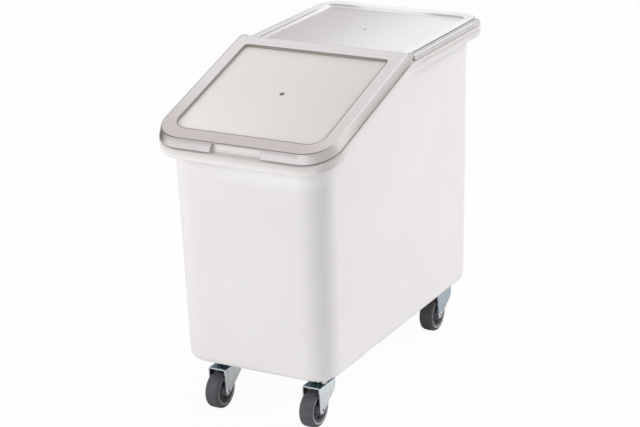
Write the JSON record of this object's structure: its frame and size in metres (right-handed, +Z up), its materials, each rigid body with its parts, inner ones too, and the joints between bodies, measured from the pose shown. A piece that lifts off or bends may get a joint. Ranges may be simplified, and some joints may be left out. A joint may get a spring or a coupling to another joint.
{
  "type": "ingredient bin",
  "caption": "Mobile ingredient bin: tapered tub with slanted front, hinged translucent front lid, lift-off rear lid and swivel casters.",
  "frame": {"origin": "on the floor under the middle of the rim", "axes": "+Z up, the slanted front and its lid face -Y, +X to the right seen from the front"},
  "size_m": [0.406, 0.746, 0.7102],
  "materials": {
    "tub_white": "satin moulded polyethylene",
    "front_lid_clear": "translucent moulded polycarbonate",
    "rear_lid_clear": "translucent moulded polycarbonate",
    "zinc_plate": "zinc plated pressed steel",
    "zinc_fork": "zinc plated pressed steel",
    "zinc_axle": "zinc plated rivet",
    "zinc_screw": "zinc plated screw",
    "insert_brass": "machined",
    "bearing_steel": "polished hardened steel",
    "hub_plastic": "moulded nylon",
    "tyre_rubber": "smooth moulded tread"
  },
  "bodies": {
    "tub_body": {"tub": "tub_white", "front_left_plate": "zinc_plate", "front_left_screws": "zinc_screw", "front_left_inserts": "insert_brass", "front_left_balls": "bearing_steel", "front_left_kingpin": "zinc_plate", "front_left_thrust_washer": "zinc_plate", "front_right_plate": "zinc_plate", "front_right_screws": "zinc_screw", "front_right_inserts": "insert_brass", "front_right_balls": "bearing_steel", "front_right_kingpin": "zinc_plate", "front_right_thrust_washer": "zinc_plate", "rear_left_plate": "zinc_plate", "rear_left_screws": "zinc_screw", "rear_left_inserts": "insert_brass", "rear_left_balls": "bearing_steel", "rear_left_kingpin": "zinc_plate", "rear_left_thrust_washer": "zinc_plate", "rear_right_plate": "zinc_plate", "rear_right_screws": "zinc_screw", "rear_right_inserts": "insert_brass", "rear_right_balls": "bearing_steel", "rear_right_kingpin": "zinc_plate", "rear_right_thrust_washer": "zinc_plate"},
    "rear_lid_body": {"rear_lid": "rear_lid_clear"},
    "front_lid_body": {"front_lid": "front_lid_clear"},
    "front_left_swivel_body": {"front_left_fork": "zinc_fork", "front_left_axle": "zinc_axle", "front_left_bushing": "bearing_steel"},
    "front_left_wheel_body": {"front_left_hub": "hub_plastic", "front_left_tyre": "tyre_rubber"},
    "front_right_swivel_body": {"front_right_fork": "zinc_fork", "front_right_axle": "zinc_axle", "front_right_bushing": "bearing_steel"},
    "front_right_wheel_body": {"front_right_hub": "hub_plastic", "front_right_tyre": "tyre_rubber"},
    "rear_left_swivel_body": {"rear_left_fork": "zinc_fork", "rear_left_axle": "zinc_axle", "rear_left_bushing": "bearing_steel"},
    "rear_left_wheel_body": {"rear_left_hub": "hub_plastic", "rear_left_tyre": "tyre_rubber"},
    "rear_right_swivel_body": {"rear_right_fork": "zinc_fork", "rear_right_axle": "zinc_axle", "rear_right_bushing": "bearing_steel"},
    "rear_right_wheel_body": {"rear_right_hub": "hub_plastic", "rear_right_tyre": "tyre_rubber"}
  },
  "joints": [
    {"name": "rear_lid_lift", "type": "slide", "parent": "tub_body", "child": "rear_lid_body", "axis": [0, 0, 1], "range_m": [0, 0.13]},
    {"name": "front_lid_hinge", "type": "hinge", "parent": "rear_lid_body", "child": "front_lid_body", "pos_m": [0, 0.003, 0.702], "axis": [-1, 0, 0], "range_deg": [0, 110]},
    {"name": "front_left_swivel", "type": "hinge", "parent": "tub_body", "child": "front_left_swivel_body", "pos_m": [-0.1096, -0.263, 0.0875], "axis": [0, 0, 1], "continuous": true},
    {"name": "front_left_roll", "type": "hinge", "parent": "front_left_swivel_body", "child": "front_left_wheel_body", "pos_m": [-0.1096, -0.291, 0.0381], "axis": [1, 0, 0], "continuous": true},
    {"name": "front_right_swivel", "type": "hinge", "parent": "tub_body", "child": "front_right_swivel_body", "pos_m": [0.1096, -0.263, 0.0875], "axis": [0, 0, 1], "continuous": true},
    {"name": "front_right_roll", "type": "hinge", "parent": "front_right_swivel_body", "child": "front_right_wheel_body", "pos_m": [0.1096, -0.291, 0.0381], "axis": [1, 0, 0], "continuous": true},
    {"name": "rear_left_swivel", "type": "hinge", "parent": "tub_body", "child": "rear_left_swivel_body", "pos_m": [-0.1096, 0.285, 0.0875], "axis": [0, 0, 1], "continuous": true},
    {"name": "rear_left_roll", "type": "hinge", "parent": "rear_left_swivel_body", "child": "rear_left_wheel_body", "pos_m": [-0.1096, 0.257, 0.0381], "axis": [1, 0, 0], "continuous": true},
    {"name": "rear_right_swivel", "type": "hinge", "parent": "tub_body", "child": "rear_right_swivel_body", "pos_m": [0.1096, 0.285, 0.0875], "axis": [0, 0, 1], "continuous": true},
    {"name": "rear_right_roll", "type": "hinge", "parent": "rear_right_swivel_body", "child": "rear_right_wheel_body", "pos_m": [0.1096, 0.257, 0.0381], "axis": [1, 0, 0], "continuous": true}
  ]
}
